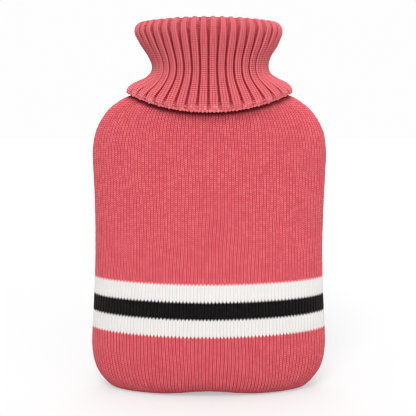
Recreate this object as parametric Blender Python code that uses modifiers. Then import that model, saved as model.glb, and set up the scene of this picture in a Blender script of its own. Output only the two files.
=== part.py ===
"""Knitted hot water bottle cover, in the shape that it keeps while a full bottle fills it.

Two knitted panels, front and back, meet along both sides and under the base. A ribbed
tube is joined to their top edges, stands up as the neck, turns over at the rim and hangs
down outside as a roll collar that rests on the shoulders. The cover is hollow, with its
mouth at the rim.

Metres, +Z up. The front faces -Y. The origin is on the floor, under the middle of the base.
"""

import math
from collections import namedtuple

import bmesh
import bpy
import numpy as np

COVER = "hot_water_bottle_cover"

# Cloth
PANEL_THICKNESS = 0.0024
RIB_THICKNESS = 0.0026
RIB_COUNT = 40
RIB_SWING = 0.0007  # a rib's crest and its furrow lie this far either side of the cloth's middle
SEAM_GAP = 0.0003  # kept between pieces that meet

# A section is a closed curve |x / half width| ** power + |y / depth| ** power = 1.
# left, right and depth are its half widths and half depth, to the cloth's outer face.
Section = namedtuple("Section", "height left right depth power")

# From the seam under the base, across the flat sole, up the body and in to the neck.
BODY_SECTIONS = (
    Section(0.0000, 0.0700, 0.0700, 0.0000, 2.0),
    Section(0.0000, 0.0790, 0.0790, 0.0120, 2.0),
    Section(0.0000, 0.0850, 0.0845, 0.0215, 2.0),
    Section(0.0014, 0.0895, 0.0890, 0.0270, 2.0),
    Section(0.0052, 0.0945, 0.0940, 0.0318, 1.95),
    Section(0.0112, 0.0998, 0.0993, 0.0352, 1.9),
    Section(0.0200, 0.1051, 0.1051, 0.0375, 1.85),
    Section(0.0310, 0.1079, 0.1081, 0.0393, 1.8),
    Section(0.0430, 0.1087, 0.1090, 0.0402, 1.8),
    Section(0.0593, 0.1077, 0.1081, 0.0404, 1.8),
    Section(0.0752, 0.1065, 0.1069, 0.0399, 1.8),
    Section(0.0911, 0.1055, 0.1061, 0.0391, 1.8),
    Section(0.1069, 0.1045, 0.1052, 0.0384, 1.8),
    Section(0.1300, 0.1037, 0.1043, 0.0377, 1.8),
    Section(0.1600, 0.1031, 0.1044, 0.0371, 1.8),
    Section(0.1900, 0.1035, 0.1052, 0.0368, 1.8),
    Section(0.2150, 0.1044, 0.1060, 0.0367, 1.8),
    Section(0.2235, 0.1040, 0.1057, 0.0368, 1.8),
    Section(0.2335, 0.1024, 0.1044, 0.0369, 1.8),
    Section(0.2407, 0.1001, 0.1021, 0.0370, 1.8),
    Section(0.2478, 0.0965, 0.0985, 0.0371, 1.82),
    Section(0.2554, 0.0914, 0.0930, 0.0372, 1.85),
    Section(0.2610, 0.0855, 0.0871, 0.0373, 1.88),
    Section(0.2661, 0.0783, 0.0802, 0.0374, 1.92),
    Section(0.2702, 0.0702, 0.0725, 0.0375, 1.95),
    Section(0.2740, 0.0588, 0.0615, 0.0375, 2.0),
    Section(0.2775, 0.0482, 0.0515, 0.0374, 2.0),
    Section(0.2803, 0.0446, 0.0480, 0.0372, 2.0),
    Section(0.2830, 0.0446, 0.0480, 0.0372, 2.0),
)

# Two soft feet carry the cover, and the sole between them arches off the floor.
ARCH_RISE = 0.0032
ARCH_HALF_SPAN = 0.046
ARCH_FADE = 0.020  # height at which the arch no longer shows

# Knitted-in bands, from the lowest up. Each edge is a section of the body.
Band = namedtuple("Band", "bottom top colour")
BANDS = (
    Band(0.0593, 0.0752, "white"),
    Band(0.0752, 0.0911, "black"),
    Band(0.0911, 0.1069, "white"),
)

# The collar's outer layer, from its hem up to the widest line of the rim. The hem hangs
# lower in front and behind (front_height) than over the shoulders (side_height).
CollarRow = namedtuple("CollarRow", "side_height front_height left right depth power")
COLLAR_ROWS = (
    CollarRow(0.2738, 0.2573, 0.0735, 0.0753, 0.0455, 2.4),
    CollarRow(0.2788, 0.2630, 0.0675, 0.0708, 0.0450, 2.35),
    CollarRow(0.2828, 0.2700, 0.0570, 0.0620, 0.0442, 2.3),
    CollarRow(0.2880, 0.2800, 0.0505, 0.0538, 0.0428, 2.1),
    CollarRow(0.2958, 0.2910, 0.0485, 0.0519, 0.0417, 2.0),
    CollarRow(0.3045, 0.3025, 0.0521, 0.0540, 0.0417, 2.0),
    CollarRow(0.3145, 0.3135, 0.0590, 0.0606, 0.0425, 2.0),
    CollarRow(0.3250, 0.3262, 0.0650, 0.0650, 0.0435, 2.0),
)
WAIST = 4  # the narrowest of those rows
HEM_SWEEP = 1.75  # how sharply the hem lifts towards the shoulders
LAYER_SPACING = 0.0035  # between the middles of the collar's two layers, where they lie close
RIM_HALF_WIDTH = 0.0052  # of the turned edge, between the two layers' middles
RIM_FRONT_RISE = 0.0090  # from the widest line of the rim to its top, to the cloth's middle
RIM_SIDE_RISE = 0.0066

# Mesh fineness
PANEL_COLUMNS = 20
PANEL_ROW_LENGTH = 0.032
RIM_STEPS = 2
MERGE = 0.00001

# Linear colours
CORAL = (0.690, 0.107, 0.134, 1.0)
WHITE = (0.888, 0.863, 0.838, 1.0)
BLACK = (0.006, 0.006, 0.007, 1.0)
KNIT_ROUGHNESS = 0.92


def clear_scene():
    for old in list(bpy.data.objects):
        bpy.data.objects.remove(old, do_unlink=True)


def new_collection(name):
    collection = bpy.data.collections.new(name)
    bpy.context.scene.collection.children.link(collection)
    return collection


def knit_material(name, colour):
    material = bpy.data.materials.new(name)
    material.use_nodes = True
    material.diffuse_color = colour
    shader = material.node_tree.nodes["Principled BSDF"]
    shader.inputs["Base Color"].default_value = colour
    shader.inputs["Roughness"].default_value = KNIT_ROUGHNESS
    shader.inputs["Metallic"].default_value = 0.0
    return material


def monotone_slopes(places, values):
    """Slopes of a curve through the values that never swings past them."""
    gaps = np.diff(places)
    rises = np.diff(values) / gaps
    slopes = np.zeros(len(values))
    for i in range(1, len(values) - 1):
        before, after = rises[i - 1], rises[i]
        if before * after > 0.0:
            first = 2.0 * gaps[i] + gaps[i - 1]
            second = gaps[i] + 2.0 * gaps[i - 1]
            slopes[i] = (first + second) / (first / before + second / after)
    slopes[0], slopes[-1] = rises[0], rises[-1]
    return slopes


def between(places, values, place):
    """The value at one place on the smooth curve through a table's values."""
    slopes = monotone_slopes(places, values)
    i = int(np.clip(np.searchsorted(places, place) - 1, 0, len(places) - 2))
    gap = places[i + 1] - places[i]
    t = (place - places[i]) / gap
    return (
        (1 + 2 * t) * (1 - t) ** 2 * values[i]
        + t * (1 - t) ** 2 * gap * slopes[i]
        + t * t * (3 - 2 * t) * values[i + 1]
        + t * t * (t - 1) * gap * slopes[i + 1]
    )


def filled_in(sections, longest):
    """The table's sections, with more between them wherever two lie further apart than longest."""
    table = np.array(sections)
    across = table[:, 3] + 0.5 * (table[:, 1] + table[:, 2])
    steps = np.hypot(np.diff(table[:, 0]), 0.5 * np.diff(across))
    places = np.concatenate([[0.0], np.cumsum(steps)])
    rows = []
    for i, step in enumerate(steps):
        parts = max(1, math.ceil(step / longest))
        for part in range(parts):
            place = places[i] + step * part / parts
            rows.append(Section(*(between(places, table[:, k], place) for k in range(5))))
    rows.append(sections[-1])
    return rows


def on_section(section, turn):
    """Point of a section: turn 0 is the right side, a quarter is the back, a half is the left."""
    across = math.cos(turn)
    along = math.sin(turn)
    bend = 2.0 / section.power
    half = section.right if across > 0.0 else section.left
    x = math.copysign(abs(across) ** bend, across) * half
    y = math.copysign(abs(along) ** bend, along) * section.depth
    return x, y


def arch_height(x, height):
    """How far the sole lifts off the floor between the feet."""
    if abs(x) >= ARCH_HALF_SPAN or height >= ARCH_FADE:
        return 0.0
    span = math.cos(0.5 * math.pi * x / ARCH_HALF_SPAN) ** 2
    fade = math.cos(0.5 * math.pi * height / ARCH_FADE) ** 2
    return ARCH_RISE * span * fade


def body_row(section):
    count = 2 * PANEL_COLUMNS
    row = []
    for i in range(count):
        x, y = on_section(section, 2.0 * math.pi * i / count)
        if i in (0, PANEL_COLUMNS):
            y = 0.0
        row.append((x, y, section.height + arch_height(x, section.height)))
    return row


def lofted(rows):
    """An open tube of faces through rows that hold the same number of points."""
    bm = bmesh.new()
    rings = [[bm.verts.new(point) for point in row] for row in rows]
    for lower, upper in zip(rings, rings[1:]):
        for i in range(len(lower)):
            j = (i + 1) % len(lower)
            bm.faces.new((lower[i], lower[j], upper[j], upper[i]))
    bmesh.ops.remove_doubles(bm, verts=bm.verts, dist=MERGE)
    return bm


def with_thickness(name, bm, thickness, offset):
    """Object of the open surface with a Solidify modifier: offset -1 grows inwards, 0 both ways."""
    mesh = bpy.data.meshes.new(name)
    bm.to_mesh(mesh)
    bm.free()
    obj = bpy.data.objects.new(name, mesh)
    bpy.context.scene.collection.objects.link(obj)
    wall = obj.modifiers.new("wall", "SOLIDIFY")
    wall.thickness = thickness
    wall.offset = offset
    wall.use_even_offset = True
    return obj


def evaluated_mesh(obj):
    bpy.context.view_layer.update()
    graph = bpy.context.evaluated_depsgraph_get()
    return bpy.data.meshes.new_from_object(obj.evaluated_get(graph))


def colour_bands(mesh, materials):
    names = list(materials)
    for name in names:
        mesh.materials.append(materials[name])
    for face in mesh.polygons:
        face.use_smooth = True
        for band in BANDS:
            if band.bottom < face.center.z < band.top:
                face.material_index = names.index(band.colour)


def cut_panel(name, bag, side, collection, colours):
    """One panel: the half of the bag on one side of its seam, side -1 for the front."""
    bm = bmesh.new()
    bm.from_mesh(bag)
    cut = bmesh.ops.bisect_plane(
        bm,
        geom=bm.verts[:] + bm.edges[:] + bm.faces[:],
        plane_co=(0.0, side * SEAM_GAP / 2, 0.0),
        plane_no=(0.0, -side, 0.0),
        clear_outer=True,
    )
    seam = [item for item in cut["geom_cut"] if isinstance(item, bmesh.types.BMEdge)]
    bmesh.ops.triangle_fill(bm, edges=seam, use_beauty=True)
    bmesh.ops.recalc_face_normals(bm, faces=bm.faces)
    mesh = bpy.data.meshes.new(name)
    bm.to_mesh(mesh)
    bm.free()
    materials = {"main": knit_material(name, CORAL)}
    materials.update(colours)
    colour_bands(mesh, materials)
    panel = bpy.data.objects.new(name, mesh)
    collection.objects.link(panel)
    return panel


def make_panels(collection):
    rows = [body_row(section) for section in filled_in(BODY_SECTIONS, PANEL_ROW_LENGTH)]
    bag = with_thickness("bag", lofted(rows), PANEL_THICKNESS, -1.0)
    mesh = evaluated_mesh(bag)
    bpy.data.objects.remove(bag, do_unlink=True)
    colours = {
        "white": knit_material("white_band", WHITE),
        "black": knit_material("black_band", BLACK),
    }
    cut_panel("front_panel", mesh, -1, collection, colours)
    cut_panel("back_panel", mesh, 1, collection, colours)
    bpy.data.meshes.remove(mesh)


def inwards(row, distance):
    """The same row of the collar, drawn in by a distance all round."""
    return row._replace(
        left=row.left - distance,
        right=row.right - distance,
        depth=row.depth - distance,
    )


def outer_layer():
    """Rows of the outer layer's middle, hem first."""
    to_middle = RIB_THICKNESS / 2 + RIB_SWING
    return [inwards(row, to_middle) for row in COLLAR_ROWS]


def turned_rim(widest):
    """Rows over the rim, from the outer layer's widest row to the inner layer."""
    rows = []
    for step in range(1, 2 * RIM_STEPS):
        turn = 0.5 * math.pi * step / RIM_STEPS
        row = inwards(widest, RIM_HALF_WIDTH * (1.0 - math.cos(turn)))
        rows.append(
            row._replace(
                side_height=row.side_height + RIM_SIDE_RISE * math.sin(turn),
                front_height=row.front_height + RIM_FRONT_RISE * math.sin(turn),
            )
        )
    return rows


def inner_layer(outer):
    """Rows of the inner layer, from the rim down to the seam with the panels."""
    waist = outer[WAIST]
    seam = BODY_SECTIONS[-1]
    to_middle = PANEL_THICKNESS / 2
    foot = CollarRow(
        seam.height + SEAM_GAP,
        seam.height + SEAM_GAP,
        seam.left - to_middle,
        seam.right - to_middle,
        seam.depth - to_middle,
        seam.power,
    )
    foot_height = foot.side_height + 0.5 * (waist.side_height - foot.side_height)
    return [
        inwards(outer[-1], 2.0 * RIM_HALF_WIDTH),
        inwards(outer[-2], RIM_HALF_WIDTH + LAYER_SPACING / 2),
        inwards(waist, LAYER_SPACING)._replace(front_height=waist.side_height),
        foot._replace(side_height=foot_height, front_height=foot_height),
        foot,
    ]


def collar_point(row, turn):
    x, y = on_section(row, turn)
    lift = abs(math.cos(turn)) ** HEM_SWEEP
    return np.array((x, y, row.front_height + (row.side_height - row.front_height) * lift))


def ribbed(rows):
    """The rows as rings of points, thrown out at each rib and in at each furrow."""
    count = 2 * RIB_COUNT
    turns = [2.0 * math.pi * i / count for i in range(count)]
    rings = [[collar_point(row, turn) for turn in turns] for row in rows]
    swung = []
    for r, ring in enumerate(rings):
        below = rings[max(r - 1, 0)]
        above = rings[min(r + 1, len(rings) - 1)]
        new = []
        for i, point in enumerate(ring):
            around = ring[(i + 1) % count] - ring[i - 1]
            normal = np.cross(around, above[i] - below[i])
            swing = RIB_SWING if i % 2 else -RIB_SWING
            new.append(point + swing * normal / np.linalg.norm(normal))
        swung.append(new)
    return swung


def make_roll_neck(collection):
    outer = outer_layer()
    rows = outer + turned_rim(outer[-1]) + inner_layer(outer)
    neck = with_thickness("roll_neck", lofted(ribbed(rows)), RIB_THICKNESS, 0.0)
    neck.data.materials.append(knit_material("roll_neck", CORAL))
    bpy.context.scene.collection.objects.unlink(neck)
    collection.objects.link(neck)


def main():
    clear_scene()
    cover = new_collection(COVER)
    make_panels(cover)
    make_roll_neck(cover)


main()
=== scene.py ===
# %% [markdown]
# # A knitted hot water bottle cover
#
# This lesson dresses the plain solids of a hot water bottle cover in real knitting. The
# cover has three cloth pieces: a front panel, a back panel and a ribbed roll neck. Each one
# is made here as a thin sheet on the folds of its solid, with every stitch as a small bump
# of mesh and the yarn itself as a material.

# %% Load the solids
import math

import bmesh
import bpy
import numpy as np
from mathutils import Matrix, Vector
from mathutils.bvhtree import BVHTree


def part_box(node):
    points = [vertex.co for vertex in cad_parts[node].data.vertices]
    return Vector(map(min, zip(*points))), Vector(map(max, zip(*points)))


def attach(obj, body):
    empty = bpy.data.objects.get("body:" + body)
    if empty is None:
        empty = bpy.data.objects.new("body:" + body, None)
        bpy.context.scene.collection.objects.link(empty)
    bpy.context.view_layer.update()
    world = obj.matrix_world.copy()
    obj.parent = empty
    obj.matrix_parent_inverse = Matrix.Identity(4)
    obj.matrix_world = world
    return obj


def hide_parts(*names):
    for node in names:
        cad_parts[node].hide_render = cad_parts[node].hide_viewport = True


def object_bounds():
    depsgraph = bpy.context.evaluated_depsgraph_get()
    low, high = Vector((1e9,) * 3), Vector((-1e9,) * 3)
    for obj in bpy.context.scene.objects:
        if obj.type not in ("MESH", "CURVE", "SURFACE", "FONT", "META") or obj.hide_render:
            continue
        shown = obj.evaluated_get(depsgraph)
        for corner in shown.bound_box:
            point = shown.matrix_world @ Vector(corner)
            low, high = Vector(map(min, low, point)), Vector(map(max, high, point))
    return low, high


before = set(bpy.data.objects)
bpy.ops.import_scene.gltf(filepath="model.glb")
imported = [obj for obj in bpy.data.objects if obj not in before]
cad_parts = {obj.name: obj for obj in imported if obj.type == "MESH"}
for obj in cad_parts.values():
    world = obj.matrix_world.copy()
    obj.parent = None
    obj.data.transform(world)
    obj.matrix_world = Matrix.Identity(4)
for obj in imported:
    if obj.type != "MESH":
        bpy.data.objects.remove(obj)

cad_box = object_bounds()


def rounded(box):
    return [tuple(round(c, 4) for c in corner) for corner in box]


print("solids:", sorted(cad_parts), "box", rounded(cad_box))

# %% [markdown]
# ## Camera
#
# A product shot of a standing cover is taken from a little above its middle, with a long
# lens, so that upright edges stay upright. It comes first, because every later choice of
# detail depends on how near the camera stands.

# %% Camera
CAMERA_PLACE = (-0.0004, -0.75, 0.2894)
CAMERA_TILT = math.radians(9.136)  # downwards
LENS = 72.45
SENSOR = 36.0

camera_data = bpy.data.cameras.new("camera")
camera_data.lens = LENS
camera_data.sensor_width = SENSOR
camera = bpy.data.objects.new("camera", camera_data)
bpy.context.scene.collection.objects.link(camera)
camera.location = CAMERA_PLACE
camera.rotation_euler = (math.radians(90.0) - CAMERA_TILT, 0.0, 0.0)
bpy.context.scene.camera = camera
print("camera at", CAMERA_PLACE, "lens", LENS)

# %% [markdown]
# ## Measuring the solids
#
# The solids are faceted, and knitting needs a smooth surface to lie on. So rays are shot at
# each solid from outside, like the feelers of a measuring machine, and the points they touch
# become a grid of rows and columns. A remeshed copy of the solid would be smooth too, but
# its faces would run anywhere, and stitches need faces that run with the cloth.

# %% Feelers
FAR = 0.3  # feelers start this far out, clear of every solid


def feeler(name):
    """A function that touches one solid from outside, along the line towards a point."""
    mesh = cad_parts[name].data
    faces = [p.vertices for p in mesh.polygons]
    tree = BVHTree.FromPolygons([v.co for v in mesh.vertices], faces)

    def touch(target, direction, reach=FAR):
        direction = Vector(direction).normalized()
        hit = tree.ray_cast(Vector(target) + direction * reach, -direction)[0]
        return None if hit is None else np.array(hit)

    return touch


half_way = 0.5 * cad_box[1][2]
first_touch = feeler("front_panel")((0.0, 0.0, half_way), (0.0, -1.0, 0.0))
print("front panel touched half way up, at", [round(c, 4) for c in first_touch])

# %% [markdown]
# ## Level rings
#
# A course is one row of stitches, and the courses lie level all round the cover. So a panel
# is measured in level rings, each from its left seam to its right one. Spacing the points
# evenly along a ring gives columns that run as the wales, the upright chains of stitches,
# run in real cloth: they crowd together where the cover narrows towards its neck.

# %% Level rings
WALES = 74  # across one panel
SEAM_SIDE = 0.0006  # feelers at a seam touch this far inside their own panel
RING_STEPS = 150

body_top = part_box("front_panel")[1].z
body_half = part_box("front_panel")[1].x
body_depth = -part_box("front_panel")[0].y


def steps_along(points):
    """The distances from each point of a line to the next."""
    return np.linalg.norm(np.diff(np.array(points), axis=0), axis=1)


def evenly(points, count):
    """count points at even distances along a line of points."""
    points = np.array(points)
    along = np.concatenate([[0.0], np.cumsum(steps_along(points))])
    places = np.linspace(0.0, along[-1], count)
    return np.stack([np.interp(places, along, points[:, k]) for k in range(3)], axis=1)


def level_ring(touch, side, height):
    """Points round one panel at a height, from its left seam to its right one."""
    points = []
    for step in range(RING_STEPS + 1):
        turn = math.pi * (1.0 - step / RING_STEPS)
        direction = (body_half * math.cos(turn), side * body_depth * math.sin(turn), 0.0)
        points.append(touch((0.0, side * SEAM_SIDE, height), direction))
    return evenly([p for p in points if p is not None], WALES + 1)


across = steps_along(level_ring(feeler("front_panel"), -1, half_way)).sum()
print("front panel is", round(across, 4), "across, so a wale is", round(across / WALES, 5))

# %% [markdown]
# ## The turned-under base
#
# Near the base the cloth turns under, and its rows fan round the curve from the side wall to
# the seam that joins both panels. Each wale goes on from the wall, and its feelers swing
# from straight down to level round a spine, a line inside the cover. The spine is shorter
# than the cover is wide, so the corners of the base come out round.

# %% Turned-under base
COURSE = 0.00176
COURSES_PER_ROW = 2.0  # of the measured grid
CUP_HEIGHT = 0.0452  # above it the courses are level
CUP_SPINE = 0.66  # the base seam is this much of the cover's width
CUP_STEPS = 30


def cup_line(touch, side, wall_point):
    """Points round the turned cloth, from the base seam up to a point of the side wall."""
    spine = CUP_SPINE * wall_point[0]
    out = Vector((wall_point[0] - spine, wall_point[1] - side * SEAM_SIDE, 0.0))
    line = []
    for step in range(CUP_STEPS + 1):
        dip = 0.5 * math.pi * (1.0 - step / CUP_STEPS)
        direction = out * math.cos(dip) + Vector((0.0, 0.0, -CUP_HEIGHT * math.sin(dip)))
        line.append(touch((spine, side * SEAM_SIDE, CUP_HEIGHT), direction))
    return [p for p in line if p is not None]


def measured_cup(touch, side):
    lines = [cup_line(touch, side, point) for point in level_ring(touch, side, CUP_HEIGHT)]
    row_count = round(np.median([steps_along(line).sum() for line in lines]) / COURSE / COURSES_PER_ROW)
    return np.stack([evenly(line, row_count + 1) for line in lines], axis=1), row_count


print("rows turned under the base:", measured_cup(feeler("front_panel"), -1)[1])

# %% [markdown]
# ## The panels' surface
#
# The cup and the rings above it make one panel's grid. The solid's facets are still in it,
# so every point is moved towards the mean of its neighbours a few times. That shrinks the
# shape a little: the same smoothing done again shows by how much, and that much is given
# back. Smoothing needs a neighbour on each side, so the grid is first padded with the cloth
# that would carry on past its edges.

# %% Panel surface
SEAM_GAP = 0.00004  # between the sewn edges
TOP_INSET = 0.0002  # the highest ring lies this far below the panel's top
MIRRORED = np.array((1.0, -1.0, 1.0))  # in the plane of the seams


def relaxed(grid, padded, along, around):
    """The grid with its facets smoothed away, and the shrinking that smoothing causes undone."""

    def smooth(points):
        for _ in range(along):
            wide = padded(points)
            points = (wide[:-2] + 2.0 * wide[1:-1] + wide[2:])[:, 1:-1] / 4.0
        for _ in range(around):
            wide = padded(points)
            points = (wide[:, :-2] + 2.0 * wide[:, 1:-1] + wide[:, 2:])[1:-1] / 4.0
        return points

    once = smooth(grid)
    return once + (once - smooth(once))


def panel_padded(points):
    """A row and a column more on each side: past a seam lies the other panel."""
    left, right = points[:, 1:2] * MIRRORED, points[:, -2:-1] * MIRRORED
    wide = np.concatenate([left, points, right], axis=1)
    return np.concatenate([wide[1:2] * MIRRORED, wide, 2.0 * wide[-1:] - wide[-2:-1]])


def sewn(points, side):
    """The grid with its sewn edges put just beside the middle plane of the cover."""
    points[:, (0, -1), 1] = side * SEAM_GAP / 2
    points[0, :, 1] = side * SEAM_GAP / 2
    return points


def panel_surface(name, side):
    touch = feeler(name)
    cup, cup_rows = measured_cup(touch, side)
    wall_rows = round((body_top - CUP_HEIGHT) / COURSE / COURSES_PER_ROW)
    heights = np.linspace(CUP_HEIGHT, body_top - TOP_INSET, wall_rows + 1)[1:]
    rings = np.stack([level_ring(touch, side, height) for height in heights])
    grid = relaxed(np.concatenate([cup, rings]), panel_padded, along=2, around=2)
    print(name, "grid", grid.shape[:2], "cup rows", cup_rows)
    return sewn(grid, side), cup_rows


front_surface, cup_rows = panel_surface("front_panel", -1)
back_surface, _ = panel_surface("back_panel", 1)

# %% [markdown]
# ## The rim of the roll neck
#
# The neck is a ribbed tube that stands up, turns over at the rim and hangs down outside. Its
# rim is measured first: a ring of points just under it, and the way out from the neck at
# each. The solid has plain ribs of its own, so the ring is smoothed until they are gone.

# %% Rim
RIBS = 40
RIB_WALES = 5  # three knit wales and two purl ones
NECK_WALES = RIBS * RIB_WALES
RIM_DROP = 0.0119  # from the neck's top to the middle line of its turned edge
RIM_SMOOTHINGS = 16

neck_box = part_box("roll_neck")
rim_height = neck_box[1].z - RIM_DROP


def rim_ring(touch):
    """Points round the outer layer at the height of its rim's middle, and the way out at each."""
    ring = []
    for k in range(NECK_WALES):
        turn = 2.0 * math.pi * k / NECK_WALES
        out = (math.sin(turn) * neck_box[1].x, -math.cos(turn) * neck_box[1].y, 0.0)
        ring.append(touch((0.0, 0.0, rim_height), out))
    ring = np.array(ring)
    for _ in range(RIM_SMOOTHINGS):
        ring = (np.roll(ring, 1, axis=0) + 2.0 * ring + np.roll(ring, -1, axis=0)) / 4.0
    ahead = np.roll(ring, -2, axis=0) - np.roll(ring, 2, axis=0)
    out = np.stack([ahead[:, 1], -ahead[:, 0], 0.0 * ahead[:, 2]], axis=1)
    return ring, out / np.linalg.norm(out, axis=1)[:, None]


ring, _ = rim_ring(feeler("roll_neck"))
print("girth just under the rim:", round(steps_along([*ring, ring[0]]).sum(), 4))

# %% [markdown]
# ## The roll neck's surface
#
# Only one side of the neck's cloth ever shows. It starts at the hem, climbs the outer layer,
# goes over the rim and down inside to the seam with the panels. Feelers from outside touch
# the outer layer, feelers around the rim's middle line touch the turned edge, and feelers
# from the axis touch the inner layer. Each line of touches is one wale, and the grid is
# smoothed round the tube, because finer ribs take the place of the solid's own.

# %% Roll neck surface
RIM_INSIDE = 0.0072  # from the cloth's outer face to the rim's middle line
RIM_REACH = 3.0 * RIM_INSIDE
NECK_TOUCHES = (28, 18, 18)  # on the outer layer, over the rim, on the inner layer
NECK_LIFT = 0.0006  # from the panels' top edges to the neck's foot
HEM_STEP = 0.0003
MOUTH_START = 0.035  # feelers for the inner layer start this far inside the outer one
OUTER_LEAST = 0.6 * MOUTH_START  # a touch nearer than this is on the inner layer


def hem_touch(touch, level, out):
    """The lowest touch on the outer layer, found by feeling upwards."""
    height = neck_box[0].z
    while True:
        point = touch(level + Vector((0.0, 0.0, height)), out)
        if point is not None and (Vector(point) - level).dot(out) > OUTER_LEAST:
            return point, height
        height += HEM_STEP


def neck_profile(touch, start, out):
    """The face side of the cloth in one direction, from its hem to its foot."""
    outer_count, rim_count, inner_count = NECK_TOUCHES
    level = Vector((start[0], start[1], 0.0)) - out * MOUTH_START
    first, hem = hem_touch(touch, level, out)
    line = [first]
    for step in range(1, outer_count):
        height = hem + (rim_height - hem) * step / outer_count
        line.append(touch(level + Vector((0.0, 0.0, height)), out))
    middle = Vector(start) - out * RIM_INSIDE
    for step in range(rim_count + 1):
        turned = math.pi * step / rim_count
        direction = out * math.cos(turned) + Vector((0.0, 0.0, math.sin(turned)))
        line.append(touch(middle, direction, RIM_REACH))
    for step in range(1, inner_count + 1):
        height = rim_height + (body_top + NECK_LIFT - rim_height) * step / inner_count
        line.append(touch(level + Vector((0.0, 0.0, height)), -out, 0.0))
    return [p for p in line if p is not None]


def neck_padded(points):
    """A row and a column more on each side: round the tube the cloth meets itself."""
    wide = np.concatenate([points[:, -1:], points, points[:, :1]], axis=1)
    return np.concatenate([2.0 * wide[:1] - wide[1:2], wide, 2.0 * wide[-1:] - wide[-2:-1]])


def neck_surface():
    touch = feeler("roll_neck")
    ring, out = rim_ring(touch)
    profiles = [neck_profile(touch, ring[k], Vector(out[k])) for k in range(NECK_WALES)]
    length = steps_along(profiles[0]).sum()
    rows = round(length / COURSE / COURSES_PER_ROW)
    grid = np.stack([evenly(line, rows + 1) for line in profiles], axis=1)
    smooth = relaxed(grid, neck_padded, along=1, around=16)
    half = NECK_WALES // 2
    closed = np.concatenate([smooth, smooth[:, :1]], axis=1)
    halves = [
        np.concatenate([evenly(row[: half + 1], half + 1)[:-1], evenly(row[half:], half + 1)[:-1]])
        for row in closed
    ]
    counts = sorted({len(line) for line in profiles})
    print("neck grid", grid.shape[:2], "front length", round(length, 4), "touches", counts)
    return np.array(halves)


neck_grid = neck_surface()

# %% [markdown]
# ## Between the measured points
#
# A stitch is smaller than a step of the measured grids, so points are needed between theirs.
# Straight lines between them would leave the facets that were just smoothed away. A curve
# through the four nearest points each way keeps the cloth round. The way that the cloth
# faces comes from two short steps across and along it.

# %% Reading a grid
NORMAL_STEP = 0.35  # of the way to the next measured point


def curve_weights(t):
    """How much each of four points in a row counts, t of the way from the second to the third."""
    return (
        0.5 * (-t + 2 * t**2 - t**3),
        0.5 * (2 - 5 * t**2 + 3 * t**3),
        0.5 * (t + 4 * t**2 - 3 * t**3),
        0.5 * (-(t**2) + t**3),
    )


def at(grid, rows, columns, ring=False):
    """Points of a grid at fractional rows and columns, on a smooth curve through its own."""
    row_base = np.clip(np.floor(rows).astype(int), 0, grid.shape[0] - 2)
    column_base = np.floor(columns).astype(int)
    if not ring:
        column_base = np.clip(column_base, 0, grid.shape[1] - 2)
    row_weights = curve_weights(rows - row_base)
    column_weights = curve_weights(columns - column_base)
    total = 0.0
    for i, row_weight in enumerate(row_weights):
        r = np.clip(row_base + i - 1, 0, grid.shape[0] - 1)
        for j, column_weight in enumerate(column_weights):
            c = column_base + j - 1
            c = c % grid.shape[1] if ring else np.clip(c, 0, grid.shape[1] - 1)
            total = total + (row_weight * column_weight)[..., None] * grid[r, c]
    return total


def normals_of(grid, rows, columns, ring=False):
    """The outward direction of the cloth at fractional rows and columns."""
    step = NORMAL_STEP
    across = at(grid, rows, columns + step, ring) - at(grid, rows, columns - step, ring)
    along = at(grid, rows + step, columns, ring) - at(grid, rows - step, columns, ring)
    normal = np.cross(across, along)
    return normal / np.maximum(np.linalg.norm(normal, axis=-1, keepdims=True), 1e-12)


hem_front = at(neck_grid, np.array([0.0]), np.array([0.5]), ring=True)[0]
print("hem at the front, between two measured points:", [round(c, 4) for c in hem_front])

# %% [markdown]
# ## A knitted sheet
#
# In plain knitting each stitch is a V, and each wale is a chain of Vs. The mesh follows
# that. Its columns run down the middle of each wale and between the wales, and on the panels
# down both legs of the Vs too. Its rows run in a zigzag, higher between the wales than on
# their middles, so a row of faces lies along the legs. The sheet is a grid with its points
# put on the measured surface, then lifted or sunk by the yarn's relief. Separate loops of
# yarn would take millions of faces for the same look. Each point also keeps its place in
# the knitting, one UV map in wales and courses and one with a value of the piece's own.

# %% Knitted sheet
V_RISE = 0.78  # how much higher a V's arms end than its foot, in courses


def lay_grid(bm, points, wales, courses, own_value=None):
    """Adds a grid of faces with its points in place, and its place in the knitting as UVs."""
    stitches = bm.loops.layers.uv.get("stitches") or bm.loops.layers.uv.new("stitches")
    extra = bm.loops.layers.uv.get("extra") or bm.loops.layers.uv.new("extra")
    rows, columns = points.shape[0] - 1, points.shape[1] - 1
    made = bmesh.ops.create_grid(bm, x_segments=columns, y_segments=rows, size=1.0)["verts"]
    spots = {}
    for vert in made:
        i = round((vert.co.x + 1.0) * columns / 2.0)
        j = round((vert.co.y + 1.0) * rows / 2.0)
        spots[vert] = (j, i)
        vert.co = points[j, i]
    for face in {face for vert in made for face in vert.link_faces}:
        for loop in face.loops:
            spot = spots[loop.vert]
            loop[stitches].uv = (wales[spot], courses[spot])
            loop[extra].uv = (0.0 if own_value is None else own_value[spot], 0.0)


def piece_from(bm, name):
    """A smooth-shaded object from a bmesh, with its faces pointing out."""
    bmesh.ops.recalc_face_normals(bm, faces=bm.faces)
    mesh = bpy.data.meshes.new(name)
    bm.to_mesh(mesh)
    bm.free()
    mesh.polygons.foreach_set("use_smooth", [True] * len(mesh.polygons))
    piece = bpy.data.objects.new(name, mesh)
    bpy.context.scene.collection.objects.link(piece)
    print(name, "triangles", sum(len(p.vertices) - 2 for p in mesh.polygons))
    return piece


def open_edges(bm):
    return [edge for edge in bm.edges if edge.is_boundary]


print("a V's arms rise", round(V_RISE * COURSE * 1000, 2), "mm")

# %% [markdown]
# ## Stitches of the panels
#
# A leg of a V bulges in its middle and dips where it slips under the next one, and the dips
# between wales are deeper. Beside the relief, the rows are planned here: two to a course
# where the panel shows, and one or fewer under the base and behind the collar, where few
# will look.

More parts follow.
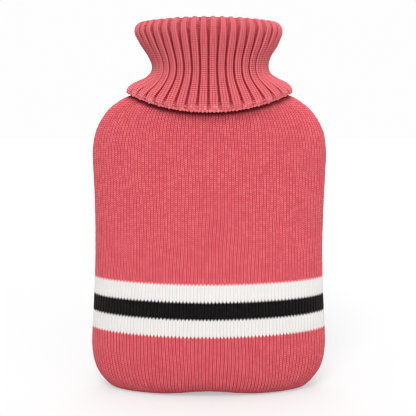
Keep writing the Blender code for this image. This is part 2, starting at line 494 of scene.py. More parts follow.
# %% Stitch relief
LEG_LIFT = 0.00034
MIDDLE_DIP = 0.00008  # height on a wale's middle
WALE_DIP = -0.00040  # height between wales
COURSE_DIP = 0.00036
DIP_LEAST = 0.35  # how much of the course dip is left beside the legs
UNDER_COURSES = 12.0  # under the base, with one row each
HIDDEN_STEP = 1.5  # courses to a row behind the collar


def stitch_relief(off_middle, phase):
    """Height of the yarn: off_middle is 0 on a wale's middle and 1 between wales."""
    leg = 1.0 - np.abs(2.0 * off_middle - 1.0)
    base = np.where(off_middle < 0.5, MIDDLE_DIP, WALE_DIP)
    height = base + (LEG_LIFT - base) * leg
    bead = 0.5 - 0.5 * np.cos(2.0 * math.pi * phase)
    return height - COURSE_DIP * (1.0 - bead) * (DIP_LEAST + (1.0 - DIP_LEAST) * leg)


def course_rows(total, visible_from, visible_to):
    """The heights of the mesh's rows, in courses."""
    under = np.arange(0.0, visible_from, 1.0)
    shown = np.arange(visible_from, visible_to, 0.5)
    hidden_count = max(2, round((total - visible_to) / HIDDEN_STEP))
    hidden = np.linspace(visible_to, total, hidden_count)
    return np.concatenate([under, shown, hidden])


print("a leg stands", round((LEG_LIFT - WALE_DIP) * 1000, 2), "mm above the dip between wales")

# %% [markdown]
# ## Shade under the collar
#
# The fold of the collar keeps light off a narrow strip of the body below its hem. The lights
# make part of that shade. The rest is a mask on the cloth, worked out here from the distance
# to the hem, which the panels' material darkens by.

# %% Collar shade
SHADE_START = 0.0018  # below the hem
SHADE_END = 0.0054  # and down to here


def eased(t):
    return t * t * (3.0 - 2.0 * t)


def collar_shade(points, side):
    """How deep each point lies in the shade of the hem: 1 close under it, 0 clear of it."""
    hem = neck_grid[0][neck_grid[0][:, 1] * side > 0.0]
    shade = np.zeros(points.shape[:2])
    for row in range(points.shape[0]):
        away = points[row][:, None, (0, 2)] - hem[None, :, (0, 2)]
        nearest = np.linalg.norm(away, axis=2).min(axis=1)
        shade[row] = eased(np.clip((SHADE_END - nearest) / (SHADE_END - SHADE_START), 0.0, 1.0))
    return shade


shaded_part = (collar_shade(front_surface, -1) > 0.0).mean()
print("part of the front panel in the collar's shade:", round(shaded_part, 3))

# %% [markdown]
# ## Front and back panels
#
# No two stitches pull quite alike, so each gets its own small lift, and whole wales wander a
# little from side to side. At the seams the cloth draws in slightly. A coarser grid, a
# cloth's thickness behind the face, closes the sheet: both are laid in one bmesh, and
# bridge_loops joins them all round their open edges. Solidify would do that too, but it
# would copy every stitch to the side that nobody sees.

# %% Panels
CLOTH = 0.0021
COLUMNS_PER_WALE = 4
UNEVEN = 0.00006
WANDER = 0.20  # wales
WANDER_FADE = 3.0  # wales from a seam
END_FADE = 2.0  # courses from an end of the sheet, where the zigzag goes straight
SEAM_DIP = 0.0001
SEAM_REACH = 1.5  # wales
HIDDEN_TOP = 0.262  # the collar hides the panels above this height

rng = np.random.default_rng(7)


def sway(course, wale):
    """Slow waves, no two alike, that the wales follow from side to side."""
    slow = np.sin(0.071 * course + 0.9 * np.sin(0.13 * wale))
    return slow + 0.6 * np.sin(0.19 * course + 0.31 * wale)


def own_lifts(course, wale, total, wales, spread):
    """A small height of its own for every stitch."""
    own = rng.normal(0.0, spread, (int(total) + 2, wales + 1))
    return own[np.floor(course).astype(int), np.floor(wale).astype(int)]


def panel_courses(surface, cup_rows):
    """A course's height, the number of courses, and the rows of the mesh in courses."""
    total = (surface.shape[0] - 1) * COURSES_PER_ROW
    wall = surface[-1, 0, 2] - surface[cup_rows, 0, 2]
    height = wall / (total - COURSES_PER_ROW * cup_rows)
    hidden_from = math.floor(COURSES_PER_ROW * cup_rows + (HIDDEN_TOP - CUP_HEIGHT) / height)
    return height, total, course_rows(total, UNDER_COURSES, hidden_from)


def panel_face(surface, side, total, level):
    """The points of a panel's face side, with the wale and course of each."""
    wale = np.arange(WALES * COLUMNS_PER_WALE + 1) / COLUMNS_PER_WALE
    course, wale = np.meshgrid(level, wale, indexing="ij")
    off_middle = np.abs(2.0 * (wale % 1.0) - 1.0)
    end_fade = np.clip(np.minimum(course, total - course) / END_FADE, 0.0, 1.0)
    lifted = course + V_RISE * off_middle * end_fade
    to_seam = np.minimum(wale, WALES - wale)
    rows = lifted / COURSES_PER_ROW
    columns = wale + WANDER * sway(course, wale) * np.clip(to_seam / WANDER_FADE, 0.0, 1.0)
    relief = stitch_relief(off_middle, course % 1.0)
    relief += own_lifts(course, wale, total, WALES, UNEVEN)
    relief -= SEAM_DIP * np.exp(-((to_seam / SEAM_REACH) ** 2))
    normals = normals_of(surface, rows, columns) * -side
    points = sewn(at(surface, rows, columns) + normals * relief[..., None], side)
    points[..., 2] = np.maximum(points[..., 2], 0.0)
    return points, wale, lifted


def make_panel(name, surface, side):
    height, total, level = panel_courses(surface, cup_rows)
    points, wale, lifted = panel_face(surface, side, total, level)
    bm = bmesh.new()
    lay_grid(bm, points, wale, lifted, collar_shade(points, side))
    rows = np.arange(0.0, surface.shape[0], 2.0)
    rows[-1] = surface.shape[0] - 1.0
    row, column = np.meshgrid(rows, np.arange(0.0, WALES + 1, 2.0), indexing="ij")
    inward = normals_of(surface, row, column) * side
    inner = sewn(at(surface, row, column) + inward * CLOTH, side)
    lay_grid(bm, inner, column, row * COURSES_PER_ROW)
    bmesh.ops.bridge_loops(bm, edges=open_edges(bm))
    return piece_from(bm, name), height


front, course_height = make_panel("knitted_front", front_surface, -1)
back, _ = make_panel("knitted_back", back_surface, 1)

# %% [markdown]
# ## Ribs
#
# Wide ribbing has three knit wales that stand forward and two purl wales that sink between
# them. At the waist the ribbing draws in, so the purl wales close to a narrow dark furrow.
# Over the rim and at the hem it is stretched, and they open. Openness says how far, from 0
# to 1, and the shape of a rib follows from it.

# %% Rib shape
KNIT_LIFT = 0.00115
CROWN_FLATTENS = 0.30  # of its height, where the ribbing is stretched
CROWN_ROUND = 0.75  # how much lower a rib's edges are than its middle
CROWN_WIDE = 1.9  # wales from a rib's middle to its edge
RIPPLE = 0.00038  # how far the knit wales of a rib stand apart
FURROW_CLOSED = -0.00200
FURROW_OPEN = -0.00045
FURROW_FLOOR = 0.5  # wales, half the width of a furrow's floor
FURROW_SLOPE = 0.9  # wales
FURROW_WIDTHS = (0.50, 1.30)  # of a purl wale: drawn in, and stretched open
HEM_OPEN = 5.5  # courses above the hem where the furrows are closed
HEM_FLAT = 2.0  # and up to where they are open
HEM_SHALLOW = 0.95  # how far the hem's furrows rise
HEM_WIDE = 0.45  # and how far they widen
RIM_OPEN = 17.0  # courses below the rim where they start to open again
RIM_PLACE = 0.59  # the rim's top, as a part of the way from hem to foot


def opened(course, total, at_hem):
    """How far the furrows are open: 0 at the waist, at_hem at the hem, 1 over the rim and inside."""
    hem = at_hem * np.clip((HEM_OPEN - course) / (HEM_OPEN - HEM_FLAT), 0.0, 1.0)
    rim = np.clip((course - (RIM_PLACE * total - RIM_OPEN)) / RIM_OPEN, 0.0, 1.0)
    return np.maximum(hem, eased(rim))


def from_furrow(wale):
    """The distance to the middle of the nearest furrow, in wales."""
    place = wale % RIB_WALES
    return np.minimum(place, RIB_WALES - place)


def rib_relief(wale, openness):
    """Height across a rib: wale counts from the middle of a furrow."""
    to_furrow = from_furrow(wale)
    from_crown = np.clip((RIB_WALES / 2 - to_furrow) / CROWN_WIDE, 0.0, 1.0)
    crown = KNIT_LIFT * (1.0 - CROWN_FLATTENS * openness) * (1.0 - CROWN_ROUND * from_crown**2)
    ripple = RIPPLE * np.cos(2.0 * math.pi * (wale % RIB_WALES - 0.5))
    floor = FURROW_CLOSED + (FURROW_OPEN - FURROW_CLOSED) * openness
    climb = eased(np.clip((to_furrow - FURROW_FLOOR) / FURROW_SLOPE, 0.0, 1.0))
    return floor + (crown + ripple - floor) * climb


def narrowed(wale, openness):
    """Where a wale lies along the ring, once the furrows have drawn in."""
    half = FURROW_WIDTHS[0] + (FURROW_WIDTHS[1] - FURROW_WIDTHS[0]) * openness
    place = wale % RIB_WALES
    knit = half + (place - 1.0) * (RIB_WALES - 2.0 * half) / (RIB_WALES - 2.0)
    last = RIB_WALES - (RIB_WALES - place) * half
    inside = np.where(place > RIB_WALES - 1.0, last, knit)
    return wale - place + np.where(place < 1.0, place * half, inside)


rib_height = rib_relief(np.array(RIB_WALES / 2), 0.0) - rib_relief(np.array(0.0), 0.0)
print("a rib stands", round(float(rib_height) * 1000, 2), "mm above its furrow at the waist")

# %% [markdown]
# ## Roll neck
#
# The neck is laid like the panels, on a grid that runs all round the tube. Its two side
# edges meet, so remove_doubles welds them into a ring. The coarse inner grid is welded too,
# and then two rings of open edges are left at each end, hem and foot, which are bridged one
# pair at a time. Where the furrows are open, their purl stitches show as small bumps laid
# like bricks, each wale half a course above the next.

# %% Roll neck
NECK_CLOTH = 0.0022
RIB_V_RISE = 0.5 * V_RISE
RIB_COURSE_DIP = 0.00050
PURL_BUMP = 0.00045
PURL_REACH = 1.2  # wales from a furrow's middle
PURL_EDGE = 0.75  # within it the rows run straight, beyond it in a zigzag
NECK_UNEVEN = 0.8 * UNEVEN
WELD = 0.000001


def neck_face(surface, total):
    """The points of the neck's face side, with wale, course and openness of each."""
    levels = np.arange(0.0, total + 0.25, 0.5)
    course, wale = np.meshgrid(levels, np.arange(NECK_WALES * 2 + 1) / 2.0, indexing="ij")
    openness = opened(course, total, HEM_SHALLOW)
    off_middle = np.abs(2.0 * (wale % 1.0) - 1.0)
    end_fade = np.clip(np.minimum(course, total - course) / END_FADE, 0.0, 1.0)
    zigzag = np.where(from_furrow(wale) > PURL_EDGE, RIB_V_RISE * off_middle, 0.0)
    lifted = course + zigzag * end_fade
    rows, columns = lifted / COURSES_PER_ROW, narrowed(wale, opened(course, total, HEM_WIDE))
    bead = 0.5 - 0.5 * np.cos(2.0 * math.pi * (course % 1.0))
    purl = np.clip(PURL_REACH - from_furrow(wale), 0.0, 1.0)
    stagger = course + 0.5 * (np.floor(wale) % 2.0)
    relief = rib_relief(wale, openness) - RIB_COURSE_DIP * (1.0 - bead) * (1.0 - purl)
    relief += PURL_BUMP * np.cos(2.0 * math.pi * stagger) * purl * openness
    relief += own_lifts(course, wale, total, NECK_WALES, NECK_UNEVEN)
    normals = normals_of(surface, rows, columns, ring=True)
    points = at(surface, rows, columns, ring=True) + normals * relief[..., None]
    points[:, -1] = points[:, 0]
    return points, wale, lifted, openness


def make_neck(name, surface):
    total = (surface.shape[0] - 1) * COURSES_PER_ROW
    bm = bmesh.new()
    lay_grid(bm, *neck_face(surface, total))
    rows = np.arange(surface.shape[0], dtype=float)
    row, column = np.meshgrid(rows, np.arange(0.0, NECK_WALES + 1, 2.0), indexing="ij")
    outward = normals_of(surface, row, column, ring=True)
    inner = at(surface, row, column, ring=True) - outward * NECK_CLOTH
    inner[:, -1] = inner[:, 0]
    lay_grid(bm, inner, column, row * COURSES_PER_ROW)
    bmesh.ops.remove_doubles(bm, verts=bm.verts, dist=WELD)
    rims = open_edges(bm)
    between = 0.5 * (surface[-1, :, 2].max() + surface[0, :, 2].max())
    for low in (True, False):
        chosen = [e for e in rims if (e.verts[0].co.z < between) == low]
        bmesh.ops.bridge_loops(bm, edges=chosen)
    return piece_from(bm, name)


neck = make_neck("ribbed_roll_neck", neck_grid)

# %% [markdown]
# ## Cast-off edge
#
# The last course of the neck is cast off, which leaves a chain of small fat loops along the
# hem. Each loop is one short bead of yarn, a stretched sphere of a few dozen faces. It leans
# the way that the chain was worked and sinks a little into the hem. All are one piece.

# %% Cast-off edge
LOOPS_PER_RIB = 3
LOOP_SIZE = (0.00140, 0.00120, 0.00130)  # half sizes: along the hem, out from it, up it
LOOP_LEAN = math.radians(38.0)
LEAN_CHANCE = 0.3  # how far one loop's lean differs from the next
LOOP_LIFT = 0.0006
LOOP_INSET = 0.0001
LOOP_FOLLOW = 0.6  # how far the loops follow the ribs in and out
LOOP_WALE = 3.5  # the loops take the pattern on the middle of a rib's third knit wale
LOOP_PATTERN = (0.3, 0.4)  # how far to each side of there, in wales and in courses


def make_cast_off(name, surface):
    bm = bmesh.new()
    stitches = bm.loops.layers.uv.new("stitches")
    extra = bm.loops.layers.uv.new("extra")
    count = RIBS * LOOPS_PER_RIB
    wale = (np.arange(count) + 0.5) * NECK_WALES / count
    rows, columns = np.zeros(count), narrowed(wale, HEM_WIDE)
    out = normals_of(surface, rows, columns, ring=True)
    ahead = at(surface, rows, columns + 0.5, ring=True) - at(surface, rows, columns - 0.5, ring=True)
    stand = rib_relief(wale, HEM_SHALLOW)[:, None] * LOOP_FOLLOW - LOOP_INSET
    middle = at(surface, rows, columns, ring=True) + out * stand
    for k in range(count):
        along, outward = Vector(ahead[k]).normalized(), Vector(out[k])
        upward = along.cross(outward).normalized()
        turned = Matrix((along, outward, upward)).transposed().to_4x4()
        lean = Matrix.Rotation(LOOP_LEAN * (1.0 + LEAN_CHANCE * rng.normal()), 4, "Y")
        stretch = Matrix.Diagonal((*LOOP_SIZE, 1.0))
        spot = Matrix.Translation(Vector(middle[k]) + Vector((0.0, 0.0, LOOP_LIFT)))
        made = bmesh.ops.create_uvsphere(bm, u_segments=10, v_segments=6, radius=1.0)["verts"]
        for face in {face for vert in made for face in vert.link_faces}:
            for loop in face.loops:
                place = loop.vert.co
                across, up = LOOP_PATTERN[0] * place.x, LOOP_PATTERN[1] * place.z
                loop[stitches].uv = (LOOP_WALE + across, k + 0.5 + up)
                loop[extra].uv = (HEM_SHALLOW, 0.0)
        bmesh.ops.transform(bm, matrix=spot @ turned @ lean @ stretch, verts=made)
    return piece_from(bm, name)


cast_off = make_cast_off("cast_off_edge", neck_grid)

# %% [markdown]
# ## Helpers for materials
#
# Node trees are long to write by hand, so a few small functions add a node, set what goes
# into it and hand back what comes out. What goes in is a number, a colour or another node's
# output.

# %% Node helpers
def feed(tree, socket, value):
    if isinstance(value, bpy.types.NodeSocket):
        tree.links.new(value, socket)
    else:
        socket.default_value = value


def maths(tree, operation, first, second=0.0, third=0.0, clamp=False):
    node = tree.nodes.new("ShaderNodeMath")
    node.operation = operation
    node.use_clamp = clamp
    for socket, value in zip(node.inputs, (first, second, third)):
        feed(tree, socket, value)
    return node.outputs[0]


def ramp(tree, value, low, high, bottom=0.0, top=1.0):
    """Value carried smoothly from low..high to bottom..top."""
    node = tree.nodes.new("ShaderNodeMapRange")
    node.interpolation_type = "SMOOTHSTEP"
    for socket, number in zip(node.inputs, (value, low, high, bottom, top)):
        feed(tree, socket, number)
    return node.outputs[0]


def off_centre(tree, value, share):
    """Value from 0..1 brought to lie evenly on both sides of nothing, share wide."""
    return maths(tree, "MULTIPLY_ADD", value, share, -0.5 * share)


def blend_colours(tree, amount, first, second):
    node = tree.nodes.new("ShaderNodeMix")
    node.data_type = "RGBA"
    feed(tree, node.inputs["Factor"], amount)
    feed(tree, node.inputs["A"], first)
    feed(tree, node.inputs["B"], second)
    return node.outputs["Result"]


def joined(tree, x, y, z=0.0):
    node = tree.nodes.new("ShaderNodeCombineXYZ")
    for socket, value in zip(node.inputs, (x, y, z)):
        feed(tree, socket, value)
    return node.outputs[0]


def split(tree, vector):
    node = tree.nodes.new("ShaderNodeSeparateXYZ")
    tree.links.new(vector, node.inputs[0])
    return node.outputs


def uv_map(tree, name):
    node = tree.nodes.new("ShaderNodeUVMap")
    node.uv_map = name
    return node.outputs[0]


def noise(tree, place, scale, detail=2.0, roughness=0.5):
    node = tree.nodes.new("ShaderNodeTexNoise")
    feed(tree, node.inputs["Vector"], place)
    feed(tree, node.inputs["Scale"], scale)
    feed(tree, node.inputs["Detail"], detail)
    feed(tree, node.inputs["Roughness"], roughness)
    return node.outputs["Fac"]


print("UV maps of the cloth:", [layer.name for layer in front.data.uv_layers])

# %% [markdown]
# ## The yarn's pattern
#
# The first UV map counts stitches: one unit across is one wale, and one unit up is one
# course. From it this group works out where a point lies in its stitch. It gives the yarn's
# height for a bump and for the painted crest highlight, the gaps between stitches, which the
# materials paint in shade, a chance value for each stitch, the fine fibres that run along
# each leg, and the course that a change of colour goes by, which climbs and falls in teeth
# as the Vs do.

# %% Stitch group
LEG_ROUND = 2.2  # 2 is a circle's roundness, more is fuller
CREST_ROUND = 2.4
SLOPE_START = 0.6  # towards the gap between wales the height falls away from here
BETWEEN = (0.62, 0.96)  # where that gap's shade starts and is full
BETWEEN_LEAST = 0.35  # how dark it stays beside a stitch's crest
BETWEEN_CREST = 0.9  # and how far from the crest it is full
COURSE_DIP_START = 0.45
TOOTH = 1.45  # courses from the lowest to the highest point of a colour change
TOOTH_SHIFT = 0.4
FIBRES_ACROSS = 9.0
FIBRES_ALONG = 1.6
GROUP_OUTPUTS = ("Height", "Gap", "Chance", "Course", "Fibre")


def around_middle(tree, value):
    """Value from 0..1 turned into its distance from the middle: 0 there and 1 at both ends."""
    return maths(tree, "ABSOLUTE", maths(tree, "MULTIPLY_ADD", value, 2.0, -1.0))


def rounded_off(tree, distance, roundness):
    return maths(tree, "SUBTRACT", 1.0, maths(tree, "POWER", distance, roundness))


def stitch_group():
    group = bpy.data.node_groups.new("knit stitch", "ShaderNodeTree")
    sockets = group.interface
    sockets.new_socket(name="Stitches", in_out="INPUT", socket_type="NodeSocketVector")
    sockets.new_socket(name="Rise", in_out="INPUT", socket_type="NodeSocketFloat")
    sockets.new_socket(name="Course Gap", in_out="INPUT", socket_type="NodeSocketFloat")
    for name in GROUP_OUTPUTS:
        sockets.new_socket(name=name, in_out="OUTPUT", socket_type="NodeSocketFloat")
    inside = group.nodes.new("NodeGroupInput")
    outside = group.nodes.new("NodeGroupOutput")
    wale, course, _ = split(group, inside.outputs["Stitches"])
    wale_number = maths(group, "FLOOR", wale)
    centred = maths(group, "MULTIPLY_ADD", maths(group, "FRACT", wale), 2.0, -1.0)
    off_middle = maths(group, "ABSOLUTE", centred)
    climb = maths(group, "MULTIPLY", off_middle, inside.outputs["Rise"])
    along_leg = maths(group, "SUBTRACT", course, climb)
    toothed = maths(group, "MULTIPLY_ADD", off_middle, -TOOTH, course)

    from_leg = around_middle(group, off_middle)
    from_crest = around_middle(group, maths(group, "FRACT", along_leg))
    round_across = rounded_off(group, from_leg, LEG_ROUND)
    round_along = rounded_off(group, from_crest, CREST_ROUND)
    bead = maths(group, "SQRT", maths(group, "MULTIPLY", round_across, round_along), clamp=True)
    slope = maths(group, "SUBTRACT", 1.0, ramp(group, off_middle, SLOPE_START, 1.0))

    between = ramp(group, off_middle, *BETWEEN)
    hole = ramp(group, from_crest, 0.0, BETWEEN_CREST, BETWEEN_LEAST, 1.0)
    course_dip = ramp(group, from_crest, COURSE_DIP_START, 1.0, 0.0, inside.outputs["Course Gap"])
    chance = group.nodes.new("ShaderNodeTexWhiteNoise")
    chance.noise_dimensions = "2D"
    stitch = joined(group, wale_number, maths(group, "FLOOR", along_leg))
    group.links.new(stitch, chance.inputs["Vector"])
    fibre_place = joined(
        group,
        maths(group, "MULTIPLY", centred, FIBRES_ALONG),
        maths(group, "MULTIPLY", along_leg, FIBRES_ACROSS),
        wale_number,
    )
    made = (
        maths(group, "MULTIPLY", bead, slope),
        maths(group, "MAXIMUM", maths(group, "MULTIPLY", between, hole), course_dip),
        chance.outputs["Value"],
        maths(group, "FLOOR", maths(group, "SUBTRACT", toothed, TOOTH_SHIFT)),
        noise(group, fibre_place, scale=1.0, detail=3.0, roughness=0.6),
    )
    for name, socket in zip(GROUP_OUTPUTS, made):
        group.links.new(socket, outside.inputs[name])
    return group


KNIT_STITCH = stitch_group()
print("stitch group made:", len(KNIT_STITCH.nodes), "nodes")

# %% [markdown]
# ## Yarn
#
# The yarn is a soft matt blend dyed coral. Its colour carries painted shade and a painted
# highlight: the gaps between stitches are painted darker and richer, and the crests lighter.
# Dye and twist vary a little from stitch to stitch and drift over the cloth. A sheen stands
# for the short fibres that catch light where the cloth turns away. Both finishes of the
# cover start from this one.

# %% Yarn material
CORAL = (0.680, 0.082, 0.111, 1.0)
# painted shade colour for the gaps between stitches and the furrows of the ribs
CORAL_CREVICE_SHADE = (0.270, 0.010, 0.020, 1.0)
# the light end of the coral: random tone and painted highlight
CORAL_TONE_AND_HIGHLIGHT = (0.890, 0.184, 0.210, 1.0)
CHANCE_SHARE = 0.60  # how far one stitch differs from the next
DRIFT_SHARE = 0.30
DRIFT_SCALE = 55.0  # about 18 mm from one patch to the next
FIBRE_SHARE = 0.60
CREST = (0.30, 0.95)  # heights where the painted crest highlight starts and is full
# how much lighter the crests are painted, as a painted highlight
CREST_PAINTED_HIGHLIGHT = (-0.10, 0.75)
YARN_ROUGHNESS = 0.84  # between fibres
FIBRE_ROUGHNESS = 0.12  # more, on them
YARN_GLOSS = 0.06
SHEEN = 0.16
SHEEN_ROUGHNESS = 0.45
SHEEN_TINT = (1.0, 0.78, 0.76, 1.0)
STITCH_BUMP = 0.00035
FIBRE_BUMP = 0.00006


def yarn_relief(tree, shader, given):
    height = maths(tree, "MULTIPLY_ADD", given["Fibre"], FIBRE_BUMP / STITCH_BUMP, given["Height"])
    bump = tree.nodes.new("ShaderNodeBump")
    bump.inputs["Strength"].default_value = 1.0
    bump.inputs["Distance"].default_value = STITCH_BUMP
    tree.links.new(height, bump.inputs["Height"])
    tree.links.new(bump.outputs["Normal"], shader.inputs["Normal"])
    rough = maths(tree, "MULTIPLY_ADD", given["Fibre"], FIBRE_ROUGHNESS, YARN_ROUGHNESS, clamp=True)
    tree.links.new(rough, shader.inputs["Roughness"])


def yarn_material(name, rise, course_gap, highlight_lift):
    """A material, its stitches' pattern, its random tone with the painted crest highlight, and its
    coral, before the painted gap shade darkens it.
    """
    material = bpy.data.materials.new(name)
    material.use_nodes = True
    tree = material.node_tree
    shader = tree.nodes["Principled BSDF"]
    shader.inputs["Sheen Weight"].default_value = SHEEN
    shader.inputs["Sheen Roughness"].default_value = SHEEN_ROUGHNESS
    shader.inputs["Sheen Tint"].default_value = SHEEN_TINT
    shader.inputs["Specular IOR Level"].default_value = YARN_GLOSS
    pattern = tree.nodes.new("ShaderNodeGroup")
    pattern.node_tree = KNIT_STITCH
    tree.links.new(uv_map(tree, "stitches"), pattern.inputs["Stitches"])
    pattern.inputs["Rise"].default_value = rise
    pattern.inputs["Course Gap"].default_value = course_gap
    given = pattern.outputs
    place = tree.nodes.new("ShaderNodeTexCoord").outputs["Object"]
    drift = noise(tree, place, DRIFT_SCALE, detail=3.0, roughness=0.6)
    shade = off_centre(tree, given["Chance"], CHANCE_SHARE)
    shade = maths(tree, "ADD", shade, off_centre(tree, drift, DRIFT_SHARE))
    shade = maths(tree, "ADD", shade, off_centre(tree, given["Fibre"], FIBRE_SHARE))
    # painted highlight: the higher the yarn stands, the lighter it is painted; random tone is added
    crest_highlight = ramp(tree, given["Height"], *CREST, *(highlight_lift + end for end in CREST_PAINTED_HIGHLIGHT))
    tone_and_highlight = maths(tree, "ADD", crest_highlight, shade, clamp=True)
    yarn_relief(tree, shader, given)
    return material, shader, given, tone_and_highlight, blend_colours(tree, tone_and_highlight, CORAL, CORAL_TONE_AND_HIGHLIGHT)


print("coral from", CORAL[:3], "to", CORAL_TONE_AND_HIGHLIGHT[:3], "and", CORAL_CREVICE_SHADE[:3], "in the gaps")

# %% [markdown]
# ## Bands
#
# The bands are knitted in, not printed, so a colour changes from one course to the next and
# its edge is a row of small teeth, one for each V. Three bands of equal height follow each
# other, white, black and white. The panels' own value, the shade under the collar, comes
# last and darkens everything under it.

# %% Panel material
BAND_BOTTOM = 0.0575
BAND_COURSES = 9
WHITE = (0.870, 0.855, 0.840, 1.0)
# painted shade colours for the gaps of the white and black bands
WHITE_GAP_SHADE = (0.670, 0.640, 0.620, 1.0)
BLACK = (0.0022, 0.0022, 0.0024, 1.0)
BLACK_TONE_AND_HIGHLIGHT = (0.0110, 0.0108, 0.0112, 1.0)
BLACK_GAP_SHADE = (0.0010, 0.0010, 0.0012, 1.0)
CORAL_SHADE = (0.120, 0.002, 0.005, 1.0)
COLLAR_SHADE = 0.92
PANEL_COURSE_GAP = 0.55  # shade in the dips between courses, as a part of that between wales
GAP_SHADE_STRENGTHS = (1.00, 0.66)  # of the painted gap shade: full at the base, as painted shade low on the cover, and weaker well above it
GAP_SHADE_CHANGE = (-4.0, 40.0)  # courses from the lowest band where that starts and ends


def in_courses(tree, course, first, last):
    """1 from the first course up to just below the last, and 0 elsewhere."""
    above = maths(tree, "GREATER_THAN", course, first - 0.5)
    below = maths(tree, "GREATER_THAN", last - 0.5, course)
    return maths(tree, "MULTIPLY", above, below)


def panel_material(name, first):
    yarn = yarn_material(name, V_RISE, PANEL_COURSE_GAP, highlight_lift=0.0)
    material, shader, given, tone_and_highlight, coral = yarn
    tree = material.node_tree
    course = given["Course"]
    # painted shade in the gaps between stitches, in every colour of the panels
    gap_shade_strength = ramp(tree, course, *(first + end for end in GAP_SHADE_CHANGE), *GAP_SHADE_STRENGTHS)
    gap_shade = maths(tree, "MULTIPLY", given["Gap"], gap_shade_strength)
    coral = blend_colours(tree, gap_shade, coral, CORAL_CREVICE_SHADE)
    white = blend_colours(tree, gap_shade, WHITE, WHITE_GAP_SHADE)
    # the black band's random tone and painted crest highlight
    black = blend_colours(tree, tone_and_highlight, BLACK, BLACK_TONE_AND_HIGHLIGHT)
    black = blend_colours(tree, gap_shade, black, BLACK_GAP_SHADE)
    in_bands = in_courses(tree, course, first, first + 3 * BAND_COURSES)
    in_black = in_courses(tree, course, first + BAND_COURSES, first + 2 * BAND_COURSES)
    colour = blend_colours(tree, in_bands, coral, white)
    colour = blend_colours(tree, in_black, colour, black)
    under_collar = split(tree, uv_map(tree, "extra"))[0]
    shade = maths(tree, "MULTIPLY", under_collar, COLLAR_SHADE)
    tree.links.new(blend_colours(tree, shade, colour, CORAL_SHADE), shader.inputs["Base Color"])
    return material


wall_course = COURSES_PER_ROW * cup_rows
first_band = round(wall_course + (BAND_BOTTOM - CUP_HEIGHT) / course_height)
plain_knit = panel_material("plain knit, banded", first_band)
for panel in (front, back):
    panel.data.materials.append(plain_knit)
print("bands start at course", first_band)

# %% [markdown]
# ## Ribbing
#
# The neck's yarn is the same, with its colour painted lighter and more painted highlight on
# its crests, and a painted highlight where the furrows are open. Its furrows are deep and
# narrow, so hardly any light comes back from their floors: the material darkens there too,
# from the count of wales across each rib. Where the furrows are open, the tops of the
# staggered purl bumps stay light. Some cast-off loops at the hem catch the light.

# %% Rib material
RIB_RISE = 0.22
RIB_COURSE_GAP = 0.66
RIB_GAP_SHADE = 0.90
RIB_HIGHLIGHT_LIFT = 0.76  # the neck's colour painted lighter, with more painted highlight on its crests
RIM_HIGHLIGHT = 0.56  # painted highlight, where the furrows are open
FURROW_EDGE = (1.30, 0.85)  # wales from a furrow's middle where its shade starts and is full
CLOSED_SHADE = 0.65  # how much darker a closed furrow is than an open one
OPEN_SHADE = 0.45
DOT_EDGE = (0.34, 0.12)  # courses from the middle of a purl bump
DOT_LIGHT = 0.80
DOT_CHANCE = 0.50
HEM_GLINT_TOP = 3.6  # below this course the cast-off loops catch the light
HEM_GLINT = 0.45
GLINT_CHANCES = (0.55, 0.80)  # only stitches with a chance value above these glint
CORAL_GLINT = (0.970, 0.400, 0.400, 1.0)


def furrow_shade(tree, wale, course, openness, chance):
    """How dark a point is for lying in a furrow."""
    across = maths(tree, "MODULO", wale, float(RIB_WALES))
    to_furrow = maths(tree, "MINIMUM", across, maths(tree, "SUBTRACT", float(RIB_WALES), across))
    stagger = maths(tree, "MULTIPLY_ADD", maths(tree, "FLOOR", wale), 0.5, course)
    from_dot = maths(tree, "SUBTRACT", maths(tree, "FRACT", stagger), 0.5)
    dots = ramp(tree, maths(tree, "ABSOLUTE", from_dot), *DOT_EDGE)
    shade = maths(tree, "MULTIPLY_ADD", dots, -DOT_LIGHT, OPEN_SHADE)
    shade = maths(tree, "MULTIPLY_ADD", chance, DOT_CHANCE, shade)
    closed = maths(tree, "SUBTRACT", 1.0, openness, clamp=True)
    shade = maths(tree, "MULTIPLY_ADD", closed, CLOSED_SHADE, shade, clamp=True)
    return maths(tree, "MULTIPLY", ramp(tree, to_furrow, *FURROW_EDGE), shade)


def rib_material(name):
    yarn = yarn_material(name, RIB_RISE, RIB_COURSE_GAP, RIB_HIGHLIGHT_LIFT)
    material, shader, given, _, coral = yarn
    tree = material.node_tree
    wale, course, _ = split(tree, uv_map(tree, "stitches"))
    openness = split(tree, uv_map(tree, "extra"))[0]
    # painted shade in the gaps between stitches of the ribs
    gap_shade = maths(tree, "MULTIPLY", given["Gap"], RIB_GAP_SHADE)
    coral = blend_colours(tree, gap_shade, coral, CORAL_CREVICE_SHADE)
    # painted highlight where the furrows are open, over the rim and at the hem
    coral = blend_colours(tree, maths(tree, "MULTIPLY", openness, RIM_HIGHLIGHT), coral, CORAL_TONE_AND_HIGHLIGHT)
    shade = furrow_shade(tree, wale, course, openness, given["Chance"])
    colour = blend_colours(tree, shade, coral, CORAL_CREVICE_SHADE)
    at_hem = ramp(tree, course, HEM_GLINT_TOP, HEM_GLINT_TOP - 1.0)
    glint = ramp(tree, given["Chance"], *GLINT_CHANCES, 0.0, HEM_GLINT)
    glint = maths(tree, "MULTIPLY", at_hem, glint)
    colour = blend_colours(tree, glint, colour, CORAL_GLINT)
    tree.links.new(colour, shader.inputs["Base Color"])
    return material


rib_knit = rib_material("rib knit")
for piece in (neck, cast_off):
    piece.data.materials.append(rib_knit)
print("rib knit made:", len(rib_knit.node_tree.nodes), "nodes")

# %% [markdown]
# ## Floor
#
# A white paper sweep runs under and behind the cover. If its own colour were white, it would
# throw so much light back up that the base of the cover would lose its shading. So the paper
# is grey, and a glow that only the camera sees makes it look as white as a brightly lit
# sweep in a studio.

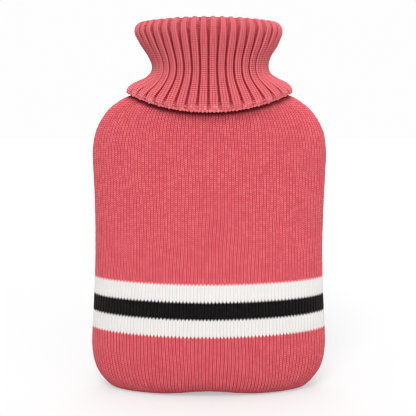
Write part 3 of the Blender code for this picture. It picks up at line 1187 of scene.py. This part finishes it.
# %% Floor
FLOOR_SIZE = 6.0
PAPER = (0.45, 0.45, 0.45, 1.0)
PAPER_GRAIN = (0.41, 0.41, 0.41, 1.0)
GRAIN_SCALE = 400.0
GRAIN_SHARE = 0.03
PAPER_ROUGHNESS = 0.95
FLOOR_GLOW = 0.42  # how much brighter the floor looks than the light it sends back


def paper_material(name):
    material = bpy.data.materials.new(name)
    material.use_nodes = True
    tree = material.node_tree
    shader = tree.nodes["Principled BSDF"]
    grain = noise(tree, tree.nodes.new("ShaderNodeTexCoord").outputs["Object"], GRAIN_SCALE)
    grain = maths(tree, "MULTIPLY", grain, GRAIN_SHARE)
    tree.links.new(blend_colours(tree, grain, PAPER, PAPER_GRAIN), shader.inputs["Base Color"])
    shader.inputs["Roughness"].default_value = PAPER_ROUGHNESS
    shader.inputs["Specular IOR Level"].default_value = 0.0
    shader.inputs["Emission Color"].default_value = (1.0, 1.0, 1.0, 1.0)
    seen = tree.nodes.new("ShaderNodeLightPath").outputs["Is Camera Ray"]
    tree.links.new(maths(tree, "MULTIPLY", seen, FLOOR_GLOW), shader.inputs["Emission Strength"])
    return material


bm = bmesh.new()
bmesh.ops.create_grid(bm, x_segments=1, y_segments=1, size=FLOOR_SIZE / 2)
floor = piece_from(bm, "floor")
floor.data.materials.append(paper_material("white paper"))

# %% [markdown]
# ## Light
#
# A large soft light high in front does most of the work. A second fills from the right, a
# third from above and a little behind lays a soft shadow before the base, and the white
# surroundings light the rest. Suns serve for all three, because their light is even over
# the whole cover, and their angle makes it soft.

# %% Light
ROOM_LIGHT = 0.62  # how strongly the white room lights the cover
ROOM_SEEN = 0.985  # how bright it looks behind it
LIGHTS = (  # name, where it shines from, strength, softness in degrees
    ("key", (-0.15, -1.0, 1.15), 1.9, 30.0),
    ("fill", (0.6, -1.2, 0.15), 0.95, 60.0),
    ("top", (0.0, 0.12, 1.0), 0.6, 35.0),
)
FILTER_WIDTH = 1.1  # a little sharper than Blender's own


def distant_light(name, place, strength, softness):
    data = bpy.data.lights.new(name, "SUN")
    data.energy = strength
    data.angle = math.radians(softness)
    lamp = bpy.data.objects.new(name, data)
    bpy.context.scene.collection.objects.link(lamp)
    lamp.rotation_euler = (-Vector(place)).to_track_quat("-Z", "Y").to_euler()
    print(name, "light from", place)


def white_room():
    world = bpy.data.worlds.new("white room")
    world.use_nodes = True
    tree = world.node_tree
    background = tree.nodes["Background"]
    background.inputs["Color"].default_value = (1.0, 1.0, 1.0, 1.0)
    seen = tree.nodes.new("ShaderNodeLightPath").outputs["Is Camera Ray"]
    strength = maths(tree, "MULTIPLY_ADD", seen, ROOM_SEEN - ROOM_LIGHT, ROOM_LIGHT)
    tree.links.new(strength, background.inputs["Strength"])
    return world


for light in LIGHTS:
    distant_light(*light)
bpy.context.scene.world = white_room()
bpy.context.scene.view_settings.view_transform = "Standard"
bpy.context.scene.cycles.filter_width = FILTER_WIDTH

# %% [markdown]
# ## Hand over
#
# Each knitted piece is attached to the root body, and the solid that it stands for is hidden.

for piece, node, slot in (
    (front, "front_panel", "plain_knit"),
    (back, "back_panel", "plain_knit"),
    (neck, "roll_neck", "rib_knit"),
):
    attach(piece, "root")
    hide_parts(node)
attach(cast_off, "root")
